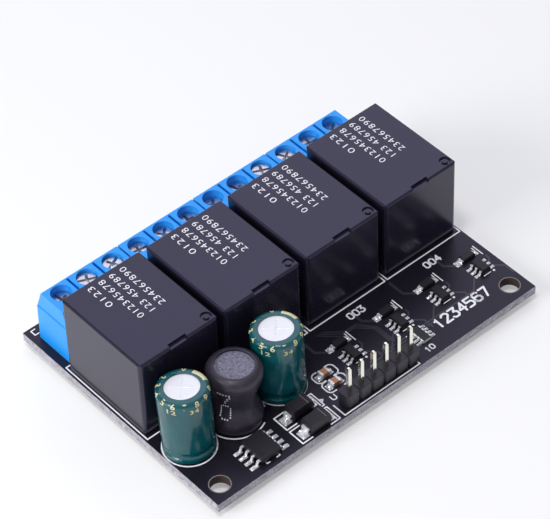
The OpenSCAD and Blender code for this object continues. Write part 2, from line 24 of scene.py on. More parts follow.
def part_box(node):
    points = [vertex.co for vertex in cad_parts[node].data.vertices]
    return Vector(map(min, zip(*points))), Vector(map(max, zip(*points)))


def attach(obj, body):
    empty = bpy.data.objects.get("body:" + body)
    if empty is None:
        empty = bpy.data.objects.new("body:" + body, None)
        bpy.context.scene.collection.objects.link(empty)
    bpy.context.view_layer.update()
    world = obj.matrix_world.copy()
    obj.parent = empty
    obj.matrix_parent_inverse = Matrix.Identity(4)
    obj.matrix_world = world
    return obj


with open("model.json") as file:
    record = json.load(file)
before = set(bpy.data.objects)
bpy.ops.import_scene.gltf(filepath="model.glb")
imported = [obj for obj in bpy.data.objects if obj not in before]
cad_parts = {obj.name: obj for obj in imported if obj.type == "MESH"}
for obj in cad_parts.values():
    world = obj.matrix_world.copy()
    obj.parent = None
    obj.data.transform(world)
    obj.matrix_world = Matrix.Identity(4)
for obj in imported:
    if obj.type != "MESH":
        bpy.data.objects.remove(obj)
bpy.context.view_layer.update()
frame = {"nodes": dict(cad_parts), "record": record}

MM = 0.001
MICRON = 0.000001
parts = frame["nodes"]
print(len(parts), "CAD parts")

# %% [markdown]
# ## Measuring from the board
# Everything on the board is placed from its near left corner, as a board
# designer does, so one helper turns such a place, in millimetres, into a point
# in the scene. A second one finds the corners of a CAD part, measured the same
# way, so what is added follows the part when its size changes.

# %% Places on the board
board_low, board_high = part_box("circuit_board")
board_l, board_w, board_t = ((b - a) / MM for a, b in zip(board_low, board_high))


def on_board(x, y, z=0.0):
    return Vector((board_low.x + x * MM, board_low.y + y * MM, board_high.z + z * MM))


def span(part):
    """Low and high corner of a part, in millimetres from the board's corner."""
    low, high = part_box(part)
    return (low - on_board(0, 0)) / MM, (high - on_board(0, 0)) / MM


def middle(part):
    low, high = span(part)
    return (low + high) / 2


print("board", round(board_l, 2), "x", round(board_w, 2), "x", round(board_t, 2), "mm")

# %% [markdown]
# ## Colours
# Colours are written as the hex codes that a colour picker shows. Blender's
# shaders work with linear light, so one function converts them.

# %% Colour helper
def colour(code):
    steps = [int(code[i:i + 2], 16) / 255 for i in (1, 3, 5)]
    linear = [v / 12.92 if v <= 0.04045 else ((v + 0.055) / 1.055) ** 2.4 for v in steps]
    return linear + [1.0]


print("white is", colour("#ffffff")[0], "and mid grey is", round(colour("#808080")[0], 3))

# %% [markdown]
# ## Nodes
# One function adds a node of any kind, sets it up and wires its inputs. It
# keeps a finish down to a few lines, one for each thing that the eye sees. A
# Mix node has a set of inputs for each kind of value, so the ones for colours
# are known by their numbers.

# %% Node helper
FACTOR, COLOUR_A, COLOUR_B, MIXED = 0, 6, 7, 2


def add(material, kind, inputs=None, **settings):
    made = material.node_tree.nodes.new("ShaderNode" + kind)
    for key, value in settings.items():
        setattr(made, key, value)
    for key, value in (inputs or {}).items():
        if isinstance(value, bpy.types.NodeSocket):
            material.node_tree.links.new(value, made.inputs[key])
        else:
            made.inputs[key].default_value = value
    return made


def shader_input(material, socket):
    return material.node_tree.nodes["Principled BSDF"].inputs[socket]


def grid_of(material):
    return material.node_tree.nodes["grid"].outputs["Vector"]


print("colour inputs of a Mix node:", COLOUR_A, "and", COLOUR_B)

# %% [markdown]
# ## How a surface varies
# No real surface has one colour or one gloss. In most finishes a noise runs an
# input of the shader from a low to a high value: two colours, two degrees of
# roughness, or the depths of a relief. The noise is told how many blobs it has
# to the millimetre, how fine its detail is, and whether it is stretched.

# %% Grain, and what it drives
def grain(material, per_mm, detail=3.0, stretch=(1, 1, 1)):
    """A pattern of blobs, so many to the millimetre, from 0 to 1."""
    fit = add(material, "Mapping", {"Vector": grid_of(material), "Scale": stretch}).outputs[0]
    noise = add(material, "TexNoise", {"Vector": fit, "Scale": per_mm, "Detail": detail})
    return noise.outputs["Fac"]


def drive(material, socket, factor, low, high):
    """Runs an input of the shader from low to high as the factor goes from 0 to 1."""
    if socket == "Base Color":
        ends = {FACTOR: factor, COLOUR_A: colour(low), COLOUR_B: colour(high)}
        result = add(material, "Mix", ends, data_type="RGBA").outputs[MIXED]
    elif socket == "Normal":
        depth = {"Height": factor, "Distance": (high - low) * MICRON}
        result = add(material, "Bump", depth).outputs["Normal"]
    else:
        ends = {"Value": factor, "To Min": low, "To Max": high}
        result = add(material, "MapRange", ends).outputs["Result"]
    material.node_tree.links.new(result, shader_input(material, socket))


print("noise can drive colour, roughness and relief")

# %% [markdown]
# ## A new finish
# A finish starts on object coordinates in millimetres, so its patterns have
# their real size and stay put on the part. What is the same all over is set on
# the shader's own inputs. What varies is given as a low value, a high value
# and the numbers of its grain. The heights of a relief are in microns.

# %% Make a finish
def new_finish(name, uniform=None, tone=None, rough=None, relief=None):
    material = bpy.data.materials.new(name)
    material.use_nodes = True
    place = add(material, "TexCoord").outputs["Object"]
    add(material, "Mapping", {"Vector": place, "Scale": (1 / MM, 1 / MM, 1 / MM)}, name="grid")
    for socket, value in (uniform or {}).items():
        shader_input(material, socket).default_value = value
    for socket, varied in (("Base Color", tone), ("Roughness", rough), ("Normal", relief)):
        if varied:
            low, high, *pattern = varied
            drive(material, socket, grain(material, *pattern), low, high)
    print(name)
    return material


print("a finish counts in units of", MM, "m")

# %% [markdown]
# ## The view
# The camera looks down on the board from its near left corner, through a long
# lens, so edges that run away from the eye stay almost parallel. It is rolled
# by two degrees, and its frame is moved a touch sideways. Its axes are built
# from three angles, which is easier to read than a matrix of nine numbers.

# %% Camera
AZIMUTH, ELEVATION, ROLL = (math.radians(v) for v in (-39.9153, 45.5271, -2.1369))
CAMERA_PLACE = (-0.19679, -0.23945, 0.33145)
forward = Vector((-math.sin(AZIMUTH) * math.cos(ELEVATION),
                  math.cos(AZIMUTH) * math.cos(ELEVATION), -math.sin(ELEVATION)))
level = Vector((math.cos(AZIMUTH), math.sin(AZIMUTH), 0))
lift = level.cross(forward)
across = math.cos(ROLL) * level + math.sin(ROLL) * lift
upright_axis = math.cos(ROLL) * lift - math.sin(ROLL) * level
lens = bpy.data.cameras.new("camera")
lens.sensor_width = 36
lens.lens = 186.95
lens.shift_x, lens.shift_y = -0.0371, -0.0130
lens.clip_start, lens.clip_end = 0.01, 10
camera = bpy.data.objects.new("camera", lens)
bpy.context.scene.collection.objects.link(camera)
turn = Matrix((across, upright_axis, -forward)).transposed().to_4x4()
camera.matrix_world = Matrix.Translation(Vector(CAMERA_PLACE)) @ turn
bpy.context.scene.camera = camera
print("camera stands", round(camera.matrix_world.translation.length, 3), "m from the board")

# %% [markdown]
# ## Light
# Black plastic has hardly any colour of its own: what one sees in it is the
# room. So the room is plain and pale. A large soft lamp stands on the left,
# which is why the ends of the terminals are brighter than their tops. A wide
# panel hangs behind the board, just where the relay tops mirror it, and gives
# them their even grey. A small lamp overhead makes the crisp glints on solder
# and film. The view transform is Standard, so a colour comes out about as it
# is written.

# %% World and lamps
bpy.context.scene.view_settings.view_transform = "Standard"
world = bpy.data.worlds.new("room")
bpy.context.scene.world = world
world.use_nodes = True
room = world.node_tree.nodes["Background"]
room.inputs["Color"].default_value = colour("#eceef7")
room.inputs["Strength"].default_value = 0.42


def soft_lamp(name, place, size, power, tint="#ffffff"):
    """A round lamp that faces the middle of the board; metres and watts."""
    lamp = bpy.data.lights.new(name, "AREA")
    lamp.shape, lamp.size, lamp.energy = "DISK", size, power
    lamp.color = colour(tint)[:3]
    holder = bpy.data.objects.new(name, lamp)
    bpy.context.scene.collection.objects.link(holder)
    aim = (-Vector(place)).to_track_quat("-Z", "Y").to_matrix().to_4x4()
    holder.matrix_world = Matrix.Translation(Vector(place)) @ aim
    print(name, size, "m wide,", power, "W")


soft_lamp("left_lamp", (-0.42, 0.06, 0.24), 0.26, 1.65)
soft_lamp("mirror_panel", (0.30, 0.36, 0.50), 0.62, 1.02, "#ecebff")
soft_lamp("overhead_lamp", (-0.12, -0.06, 0.50), 0.09, 0.9)

# %% [markdown]
# ## The floor
# A white paper sweep. Looked at directly, or in a glossy face, it is lifted a
# little towards pure white, while its diffuse part still takes the soft shadow
# of the board.

# %% Floor
FLOOR_REACH = 1.5
LIFT_TO_WHITE = 0.3
floor_mesh = bpy.data.meshes.new("floor")
shape = bmesh.new()
bmesh.ops.create_grid(shape, x_segments=1, y_segments=1, size=FLOOR_REACH)
shape.to_mesh(floor_mesh)
shape.free()
floor = bpy.data.objects.new("floor", floor_mesh)
bpy.context.scene.collection.objects.link(floor)
paper = new_finish("white paper sweep", {"Base Color": colour("#f0f0f1"), "Roughness": 0.9})
glow = add(paper, "Emission", {"Color": colour("#ffffff"), "Strength": 1.0}).outputs[0]
rays = add(paper, "LightPath").outputs
seen = rays["Is Camera Ray"]
for also in ("Is Glossy Ray", "Is Transmission Ray"):
    seen = add(paper, "Math", {0: seen, 1: rays[also]}, operation="MAXIMUM").outputs[0]
share = add(paper, "Math", {0: seen, 1: LIFT_TO_WHITE}, operation="MULTIPLY").outputs[0]
plain_paper = paper.node_tree.nodes["Principled BSDF"].outputs[0]
lifted = add(paper, "MixShader", {0: share, 1: plain_paper, 2: glow}).outputs[0]
paper.node_tree.links.new(lifted, paper.node_tree.nodes["Material Output"].inputs["Surface"])
floor_mesh.materials.append(paper)
print("floor lies at", round(floor.location.z, 4), "m")

# %% [markdown]
# ## Solder mask and laminate
# The board is glass cloth in epoxy, coated on both sides with black solder
# mask: nearly black, with a satin gloss, and a little uneven. The routed rim
# shows the bare laminate, pale grey. The walls of the drilled holes are
# laminate too, coloured a darker brown: partly the laminate's own browner
# tone, partly painted shade for the shadow inside the holes. Faces that stand
# upright take the laminate, so one material serves the whole board.

# %% Which faces are cut
RIM = 0.05  # an upright face this near the board's outline, in mm, is its rim
mask = new_finish(
    "black solder mask on glass laminate", {"IOR": 1.43, "Specular Tint": colour("#e8e4ff")},
    relief=(0, 6, 3.0))
facing = add(mask, "SeparateXYZ", {0: add(mask, "NewGeometry").outputs["Normal"]}).outputs["Z"]
flat = add(mask, "Math", {0: facing}, operation="ABSOLUTE").outputs[0]
upright = add(mask, "Math", {0: flat, 1: 0.5}, operation="LESS_THAN").outputs[0]
axes = add(mask, "SeparateXYZ", {0: grid_of(mask)}).outputs
outside = 0.0
for axis, side in (("X", board_l), ("Y", board_w)):
    away = add(mask, "Math", {0: axes[axis]}, operation="ABSOLUTE").outputs[0]
    at_rim = add(mask, "Math", {0: away, 1: side / 2 - RIM}, operation="GREATER_THAN").outputs[0]
    outside = add(mask, "Math", {0: outside, 1: at_rim}, operation="MAXIMUM").outputs[0]
print("the rim stands", round(board_l / 2, 2), "and", round(board_w / 2, 2), "mm from the middle")

# %% [markdown]
# ## Threads in the cut faces
# Rows of glass threads end in a cut face, about four to the board's thickness.
# Two stretched noises, multiplied, give such streaks. Three colours are then
# mixed: the mask, the rim, and the walls of the holes, whose darker brown is
# partly painted shade.

# %% Board colours
threads = grain(mask, 2.6, 3, (0.35, 0.35, 1.0))
chips = grain(mask, 4.0, 2, (1.0, 1.0, 0.3))
streaks = add(mask, "Math", {0: threads, 1: chips}, operation="MULTIPLY").outputs[0]
clear_streaks = add(mask, "MapRange", {"Value": streaks, "From Min": 0.12, "From Max": 0.42})
tones = {
    "mask": (grain(mask, 2.2, 5), "#110f17", "#1d1a23"),
    "rim": (clear_streaks.outputs["Result"], "#85828a", "#c3c0c6"),
    # hole walls: laminate brown, darkened with painted shade for the inside of the holes
    "hole": (threads, "#2c231e", "#4f4034"),
}
for where, (factor, low, high) in tones.items():
    ends = {FACTOR: factor, COLOUR_A: colour(low), COLOUR_B: colour(high)}
    tones[where] = add(mask, "Mix", ends, data_type="RGBA").outputs[MIXED]
cut = {FACTOR: outside, COLOUR_A: tones["hole"], COLOUR_B: tones["rim"]}
cut_tone = add(mask, "Mix", cut, data_type="RGBA").outputs[MIXED]
whole = {FACTOR: upright, COLOUR_A: tones["mask"], COLOUR_B: cut_tone}
board_tone = add(mask, "Mix", whole, data_type="RGBA").outputs[MIXED]
mask.node_tree.links.new(board_tone, shader_input(mask, "Base Color"))
drive(mask, "Roughness", upright, 0.34, 0.85)
print(mask.name, "mixes", len(tones), "tones")

# %% [markdown]
# ## Relay cases
# The cases are black PBT, injection-moulded in a polished tool: smooth enough
# to mirror the board in front of them. Fine flow marks vary the gloss. The
# base colour is a blue-black, since the moulding has a violet cast where the
# light meets it.

# %% Relay finish
case_black = new_finish(
    "black moulded PBT", {"IOR": 1.54, "Specular Tint": colour("#e2deff")},
    tone=("#1a1824", "#232030", 0.35, 4, (1, 0.4, 1)),
    rough=(0.17, 0.26, 7.0, 4), relief=(0, 1.2, 6.0, 2))

# %% [markdown]
# ## Other black plastics
# Bases and the header are glass-filled nylon: duller, with a faint grain that
# scatters the light. The chips are epoxy moulding compound, whose silica
# filler gives a grey bloom under the mould's own fine texture.

# %% Nylon and moulding compound
nylon_black = new_finish(
    "black glass-filled nylon", {"Roughness": 0.42},
    tone=("#17151e", "#24212b", 8.0), relief=(0, 4, 14.0))
epoxy = new_finish(
    "black moulding compound", {"Roughness": 0.5, "IOR": 1.46},
    tone=("#121017", "#1e1b24", 9.0, 4), relief=(0, 4, 16.0))

# %% [markdown]
# ## Blue terminals
# Polyamide, coloured right through and moulded with a light sheen. The colour
# wanders a little over a block, as the resin flowed, and a finer noise makes
# some places glossier than others.

# %% Terminal finish
blue_nylon = new_finish(
    "blue moulded polyamide", {"IOR": 1.53},
    tone=("#0f8ce8", "#1b9bf4", 0.8, 4), rough=(0.34, 0.46, 6.0), relief=(0, 3, 7.0))

# %% [markdown]
# ## Plated metals
# Screws and cages are steel with bright nickel, leads and contacts are tinned,
# and the header pins are drawn wire with a warm bright plate, whose fine lines
# run along the pin. A metal's colour is its reflection, so the base colours are
# pale, and the roughness says how far the room in them is blurred.

# %% Nickel, tin and pin wire
nickel = new_finish(
    "bright nickel plate", {"Metallic": 1.0},
    tone=("#a9a9b0", "#e2e2e6", 3.0), rough=(0.14, 0.34, 5.0), relief=(0, 20, 5.0))
tin = new_finish(
    "tin plate", {"Metallic": 1.0},
    tone=("#cccbc9", "#e6e5e3", 4.0), rough=(0.28, 0.45, 6.0), relief=(0, 3, 12.0))
pin_plate = new_finish(
    "bright plated pin wire", {"Metallic": 1.0, "Roughness": 0.16},
    tone=("#ece8dc", "#fbf8ee", 4.0, 2, (1, 1, 0.1)), relief=(0, 2, 14.0, 2, (1, 1, 0.05)))

# %% [markdown]
# ## Solder and aluminium
# Reflowed solder freezes bright, with a soft uneven skin of small dimples. The
# capacitor cans are deep-drawn aluminium. Their scored tops are etched, which
# spreads the light and makes them look almost white.

# %% Solder and can metal
solder = new_finish(
    "reflowed solder", {"Metallic": 0.5},
    tone=("#e2e3e6", "#fafafb", 3.5), rough=(0.16, 0.34, 4.0), relief=(0, 100, 2.2, 2))
can_metal = new_finish(
    "etched aluminium", {"Metallic": 0.75},
    tone=("#ececf0", "#f8f8fa", 2.0), rough=(0.5, 0.62, 3.0), relief=(0, 4, 8.0))

# %% [markdown]
# ## Shrink sleeves
# The capacitor sleeves are teal PET film, drawn tight by heat: glossy, with
# long faint folds that break the highlights into streaks. The choke's sleeve
# is a thicker black polyolefin tube, satin, that follows the waist of the
# winding.

# %% Sleeve finishes
teal_film = new_finish(
    "teal shrink sleeve", {"Roughness": 0.16, "IOR": 1.57},
    tone=("#003e46", "#04585e", 0.5, 4), relief=(0, 220, 0.55, 4, (1, 1, 0.3)))
black_film = new_finish(
    "black shrink sleeve", {"Roughness": 0.38},
    tone=("#272130", "#332c3a", 1.0), relief=(0, 60, 0.9, 4))

# %% [markdown]
# ## Ferrite, rubber, copper and ceramic
# The choke's ferrite is a ground ceramic: a mottled blue-grey of coarse grains
# that sparkle a little, so its noise is stretched to full contrast. The
# winding is enamelled copper wire, seen only where the sleeve ends. A wave
# paints its turns in bands: painted shade where the grooves between turns
# lie, painted highlight on their crowns. The chip capacitors are sintered
# titanate, tan and close.

# %% Ferrite, rubber, copper and ceramic finishes
ferrite = new_finish("ground ferrite", {"Roughness": 0.55})
speck = grain(ferrite, 2.6, 6)
sharp = add(ferrite, "MapRange", {"Value": speck, "From Min": 0.3, "From Max": 0.7})
drive(ferrite, "Base Color", sharp.outputs["Result"], "#4c4a58", "#86849a")
drive(ferrite, "Normal", speck, 0, 60)
rubber = new_finish("black rubber", {"Roughness": 0.75}, tone=("#161618", "#222224", 4.0))
copper = new_finish("enamelled copper wire", {"Metallic": 1.0, "Roughness": 0.3})
wave = {"Vector": grid_of(copper), "Scale": 0.6}
# painted shade and highlight: dark bands in the grooves between turns, light bands on their crowns
turn_shade_and_highlight = add(copper, "TexWave", wave, bands_direction="Z").outputs["Fac"]
drive(copper, "Base Color", turn_shade_and_highlight, "#8a3d1c", "#c86a36")
titanate = new_finish(
    "tan sintered ceramic", {"Roughness": 0.45},
    tone=("#a9714f", "#c08a68", 6.0), relief=(0, 4, 12.0))

# %% [markdown]
# ## Ink
# The board's print and the marks on the cases are epoxy ink, pushed through a
# screen: white, a little chalky, and thinner in places so the black shows
# through. The marks on the capacitors are a pale gold ink.

# %% Inks
ink = new_finish(
    "white epoxy ink", {"Roughness": 0.6},
    tone=("#dcdce4", "#fafafc", 3.0, 4), relief=(0, 3, 8.0))
gold_ink = new_finish(
    "pale gold ink", {"Roughness": 0.35},
    tone=("#b9ae6e", "#e4dcae", 2.0, 4), relief=(0, 3, 8.0))

# %% [markdown]
# ## Finishes on the CAD parts
# The record gives each CAD part a material slot. One table says which finish
# a slot gets. The slot of an added piece is looked up the same way, so both
# kinds stay in step.

# %% Assign the finishes
finish_of = {
    "board_black": mask, "relay_black": case_black, "base_black": nylon_black,
    "terminal_blue": blue_nylon, "plated_steel": nickel, "tinned_pin": tin,
    "header_pin": pin_plate, "can_aluminium": can_metal, "sleeve_teal": teal_film,
    "bung_rubber": rubber, "ferrite": ferrite, "copper_wire": copper,
    "choke_wrap": black_film, "chip_black": epoxy, "chip_tan": titanate,
    "solder": solder, "print_white": ink,
}
for entry in frame["record"]["subparts"]:
    part = parts[entry["node"]]
    part.data.materials.clear()
    part.data.materials.append(finish_of[entry["material_slot"]])
print(len(finish_of), "finishes on", len(parts), "parts")

# %% [markdown]
# ## Keeping what is added
# Every added piece is a mesh that rides on the board's body. Its doubles are
# merged and its normals turned outwards before it is kept, because a spun or
# mirrored shape can come out inside out.

# %% Keep a piece
def keep(name, shape, slot, finish=None):
    bmesh.ops.remove_doubles(shape, verts=shape.verts, dist=MICRON)
    bmesh.ops.recalc_face_normals(shape, faces=shape.faces)
    mesh = bpy.data.meshes.new(name)
    shape.to_mesh(mesh)
    shape.free()
    mesh.materials.append(finish or finish_of[slot])
    piece = bpy.data.objects.new(name, mesh)
    bpy.context.scene.collection.objects.link(piece)
    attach(piece, "root")
    print(name, len(mesh.polygons), "faces")


print("a piece is kept with its slot's finish unless it brings its own")

# %% [markdown]
# ## Bars and spots
# Print and tracks are lines of one width. A line is drawn as a pen would: a
# flat bar for each stretch and a round spot at each point, so corners come out
# rounded, as ink and etched copper do. A bar is a cube made long and thin, and
# a spot is a short cone with equal ends.

# %% Bars and spots
INK = 0.03
SHORTEST = 0.00001


def bar(shape, start, end, width, low=0.0, high=INK):
    """A flat bar between two places on the board, from one height to another."""
    start, end = on_board(*start), on_board(*end)
    run = end - start
    turned_by = Matrix.Rotation(math.atan2(run.y, run.x), 3, "Z")
    size = (max(run.length, SHORTEST), width * MM, (high - low) * MM)
    place = (start + end) / 2 + Vector((0, 0, (low + high) / 2 * MM))
    made = bmesh.ops.create_cube(shape, size=1.0)["verts"]
    bmesh.ops.scale(shape, vec=size, verts=made)
    bmesh.ops.rotate(shape, cent=(0, 0, 0), matrix=turned_by, verts=made)
    bmesh.ops.translate(shape, vec=place, verts=made)


def disc(shape, centre, radius, depth, sides):
    made = bmesh.ops.create_cone(shape, cap_ends=True, segments=sides, radius1=radius,
                                 radius2=radius, depth=depth)["verts"]
    bmesh.ops.translate(shape, vec=centre, verts=made)


def spot(shape, place, width, low=0.0, high=INK):
    disc(shape, on_board(*place, (low + high) / 2), width / 2 * MM, (high - low) * MM, 12)


print("a printed line is", INK, "mm thick")

# %% [markdown]
# ## The pen
# Where two strokes cross, their faces would lie in one plane, and the renderer
# couldn't tell which is in front. So each bar and each spot is a hair lower
# than the last, in turns of eleven.

# %% Pen lines
HAIR = 0.0012
sunk_by = itertools.cycle(HAIR * k for k in range(11))


def pen(shape, points, width, low=0.0, high=INK, closed=False):
    """Strokes of one line; on the underside it is the low face that varies."""
    loop = points + points[:1] if closed else points
    strokes = [(bar, ends) for ends in zip(loop, loop[1:])] + [(spot, (place,)) for place in points]
    for draw, ends in strokes:
        sunk = next(sunk_by)
        if low < 0:
            draw(shape, *ends, width, low + sunk, high)
        else:
            draw(shape, *ends, width, low, high - sunk)


print("strokes differ by", HAIR, "mm")

# %% [markdown]
# ## Rings and arcs
# A ring is turned: its cross-section, four vertices joined in a loop, is spun
# about an upright axis. An arc is closed with a face at each end, and a full
# turn merges its seam.

# %% Spin a ring
ARC_STEP = 4


def ring(shape, x, y, radius, width, start=0.0, sweep=360.0, low=0.0, high=INK):
    inner, outer = radius - width / 2, radius + width / 2
    outline = [(inner, low), (outer, low), (outer, high), (inner, high)]
    full = abs(sweep) >= 360
    older = set(shape.verts)
    first = [shape.verts.new((r * MM, 0, z * MM)) for r, z in outline]
    edges = [shape.edges.new((a, b)) for a, b in zip(first, first[1:] + first[:1])]
    begin = Matrix.Rotation(math.radians(start), 3, "Z")
    bmesh.ops.rotate(shape, cent=(0, 0, 0), matrix=begin, verts=first)
    spun = bmesh.ops.spin(shape, geom=first + edges, cent=(0, 0, 0), axis=(0, 0, 1),
                          angle=math.radians(sweep), steps=max(8, int(abs(sweep) / ARC_STEP)),
                          use_merge=full)
    made = [v for v in shape.verts if v not in older]
    if not full:
        last = [e for e in spun["geom_last"] if isinstance(e, bmesh.types.BMEdge)]
        for end in (edges, last):
            bmesh.ops.contextual_create(shape, geom=end)
    bmesh.ops.translate(shape, vec=on_board(x, y), verts=made)


print("a full ring has", 360 // ARC_STEP, "steps")

# %% [markdown]
# ## Plain numbers
# The marks on such cases are set in a plain sans letter. Blender's own font
# gives that. A text object is turned into a mesh first, then scaled until its
# figures have the wanted height and length, and only then put in its place.

# %% Numbers as a mesh
def numbers(text, height, length, weight, thickness):
    """A mesh of figures in millimetres: x from 0 to length, y from 0 to height."""
    curve = bpy.data.curves.new("figures", "FONT")
    curve.body, curve.size = text, 1.0
    curve.offset, curve.extrude = weight, 0.02
    curve.space_character = 1.15
    curve.resolution_u = 3
    holder = bpy.data.objects.new("figures", curve)
    mesh = bpy.data.meshes.new_from_object(holder)
    bpy.data.objects.remove(holder)
    shape = bmesh.new()
    shape.from_mesh(mesh)
    bpy.data.meshes.remove(mesh)
    bmesh.ops.remove_doubles(shape, verts=shape.verts, dist=0.0001)
    low = Vector([min(v.co[k] for v in shape.verts) for k in range(3)])
    high = Vector([max(v.co[k] for v in shape.verts) for k in range(3)])
    size = high - low
    wanted = (length / size.x, height / size.y, thickness / size.z)
    bmesh.ops.translate(shape, vec=-low, verts=shape.verts)
    bmesh.ops.scale(shape, vec=wanted, verts=shape.verts)
    return shape


def put(target, figures, place):
    """Adds a mesh of figures to a piece, moved to its place."""
    bmesh.ops.transform(figures, matrix=place, verts=figures.verts)
    carrier = bpy.data.meshes.new("carrier")
    figures.to_mesh(carrier)
    figures.free()
    target.from_mesh(carrier)
    bpy.data.meshes.remove(carrier)


sample = numbers("0123", 1.0, 4.0, 0.0, INK)
print("four figures have", len(sample.faces), "faces")
sample.free()

# %% [markdown]
# ## Figures drawn with the pen
# A board's own print isn't set in type: the layout program draws each figure
# as a few straight strokes of one width. So every figure is a path on a grid
# four steps wide and six high, and the pen follows it.

# %% Stroke figures
GRID_WIDE, GRID_HIGH, FIGURE_STEP = 4, 6, 5.6
STROKES = {
    "0": [(1, 0), (3, 0), (4, 1), (4, 5), (3, 6), (1, 6), (0, 5), (0, 1), (1, 0)],
    "1": [(0.8, 4.8), (2, 6), (2, 0)],
    "2": [(0, 5), (1, 6), (3, 6), (4, 5), (4, 4), (0, 0), (4, 0)],
    "3": [(0, 6), (4, 6), (2, 3.6), (3, 3.6), (4, 2.6), (4, 1), (3, 0), (1, 0), (0, 1)],
    "4": [(3, 0), (3, 6), (0, 2), (4, 2)],
    "5": [(4, 6), (0, 6), (0, 3.5), (3, 3.5), (4, 2.5), (4, 1), (3, 0), (0, 0)],
    "6": [(3.8, 5.4), (3, 6), (1, 6), (0, 5), (0, 1), (1, 0), (3, 0), (4, 1), (4, 2.4),
          (3, 3.4), (0, 3.4)],
    "7": [(0, 6), (4, 6), (1.5, 0)],
    "8": [(1, 3.2), (0, 4.2), (0, 5), (1, 6), (3, 6), (4, 5), (4, 4.2), (3, 3.2), (1, 3.2),
          (0, 2.2), (0, 1), (1, 0), (3, 0), (4, 1), (4, 2.2), (3, 3.2)],
    "9": [(0.2, 0.6), (1, 0), (3, 0), (4, 1), (4, 5), (3, 6), (1, 6), (0, 5), (0, 3.8),
          (1, 2.8), (4, 2.8)],
}


def stroke_figures(shape, text, left, foot, height, length, width):
    """Figures along x, from the left foot, in millimetres; the width is the pen's."""
    step_x = (length - width) / (FIGURE_STEP * (len(text) - 1) + GRID_WIDE)
    step_y = (height - width) / GRID_HIGH
    for n, figure in enumerate(text):
        pen(shape, [(left + width / 2 + (x + FIGURE_STEP * n) * step_x,
                     foot + width / 2 + y * step_y) for x, y in STROKES[figure]], width)


print(len(STROKES), "figures")

# %% [markdown]
# ## Outlines printed on the board
# Each relay stands in a printed rectangle, whose front line shows along the
# foot of the cases and whose sides show in the gaps. The capacitors and the
# choke stand in rings. The capacitors' rings are hatched on the side of one
# lead, so that nobody fits them the wrong way round.

# %% Relay, capacitor and choke outlines
LINE = 0.24
HATCH_STEP, HATCH_REACH = 0.6, 0.62
CAN_RINGS = ((4.42, 11.88, 4.24), (22.50, 11.94, 4.30))
CHOKE_RING = (13.40, 11.77, 4.80)
outlines = bmesh.new()
for i in range(1, 5):
    low, high = span("relay_%d_cover" % i)
    left, right, front, back = low.x - 0.25, high.x + 0.4, low.y - 0.62, high.y + 0.35
    pen(outlines, [(left, front), (right, front), (right, back), (left, back)], LINE, closed=True)
for x, y, reach in CAN_RINGS:
    ring(outlines, x, y, reach, LINE)
    for k in range(-6, 7):
        level_y = y + HATCH_STEP * k
        edge = x + math.sqrt(reach ** 2 - (HATCH_STEP * k) ** 2)
        bar(outlines, (edge - HATCH_REACH, level_y), (edge, level_y), LINE)
ring(outlines, *CHOKE_RING, LINE, start=-22, sweep=322)
keep("print_outlines", outlines, "print_white")

# %% [markdown]
# ## Boxes round the small parts
# The boxes round the rectifiers carry a bar at the cathode, and an arrow joins
# them. The header has a line along its front, turned up at both ends, and a
# little cup beside its first pin. The chip capacitors sit between round
# brackets. The voltage regulator has two hooks in front of it.

# %% Boxes, brackets and hooks
boxes = bmesh.new()
for low_y, high_y in ((4.1, 7.2), (0.45, 3.55)):
    for open_x, side_x in ((19.2, 17.25), (23.0, 24.82)):
        pen(boxes, [(open_x, high_y), (side_x, high_y), (side_x, low_y), (open_x, low_y)], LINE)
    pen(boxes, [(24.35, high_y - 0.35), (24.35, low_y + 0.35)], LINE)
pen(boxes, [(24.9, 4.7), (25.35, 5.05), (24.9, 5.4)], LINE, closed=True)
pen(boxes, [(25.75, 3.02), (25.75, 0.38), (41.35, 0.38), (41.4, 1.1)], LINE)
BRACKET_X, BRACKET_HALF, BEND = 29.1, 2.15, 0.8
for low_y, high_y in ((7.6, 9.9), (5.1, 7.5)):
    for side, top_start, foot_start in ((-1, 90, 180), (1, 0, 270)):
        edge, bend = BRACKET_X + side * BRACKET_HALF, BRACKET_X + side * (BRACKET_HALF - BEND)
        ring(boxes, bend, high_y - BEND, BEND, LINE, start=top_start, sweep=90)
        ring(boxes, bend, low_y + BEND, BEND, LINE, start=foot_start, sweep=90)
        bar(boxes, (edge, low_y + BEND), (edge, high_y - BEND), LINE)
        for y in (high_y, low_y):
            pen(boxes, [(bend, y), (bend - side * 0.5, y)], LINE)
pen(boxes, [(26.5, 4.75), (26.5, 4.0), (26.75, 3.8), (27.1, 3.8), (27.3, 4.0), (27.3, 4.75)], 0.2)
pen(boxes, [(10.7, 1.45), (10.7, 1.15), (11.2, 1.15)], 0.22)
pen(boxes, [(12.6, 1.15), (13.2, 1.15), (13.2, 1.45)], 0.22)
keep("print_boxes", boxes, "print_white")

# %% [markdown]
# ## Where the four channels are
# Each channel has the same small parts. A CAD part such as the driver chips
# holds four solids in a row, so sorting its points along the row and cutting
# where there is a gap gives the middle of each chip.

# %% Middles of the channels
GAP = 3.0


def solids_along_x(part):
    """Middles of the solids of a part that lie in a row along x."""
    along = sorted((v.co.x - board_low.x) / MM for v in parts[part].data.vertices)
    cuts = [n for n in range(1, len(along)) if along[n] - along[n - 1] > GAP]
    starts, stops = [0] + cuts, cuts + [len(along)]
    return [(along[a] + along[b - 1]) / 2 for a, b in zip(starts, stops)]


channels = solids_along_x("driver_bodies")
driver_y = middle("driver_bodies").y
clamp_y = middle("clamp_diode_bodies").y
print("channels at", [round(x, 2) for x in channels])

# %% [markdown]
# ## Marks of the channels
# A loop draws the marks: the dot at pin 1 of the driver chip, a short line on
# either side of it, and the two cathode lines of the clamp diode.

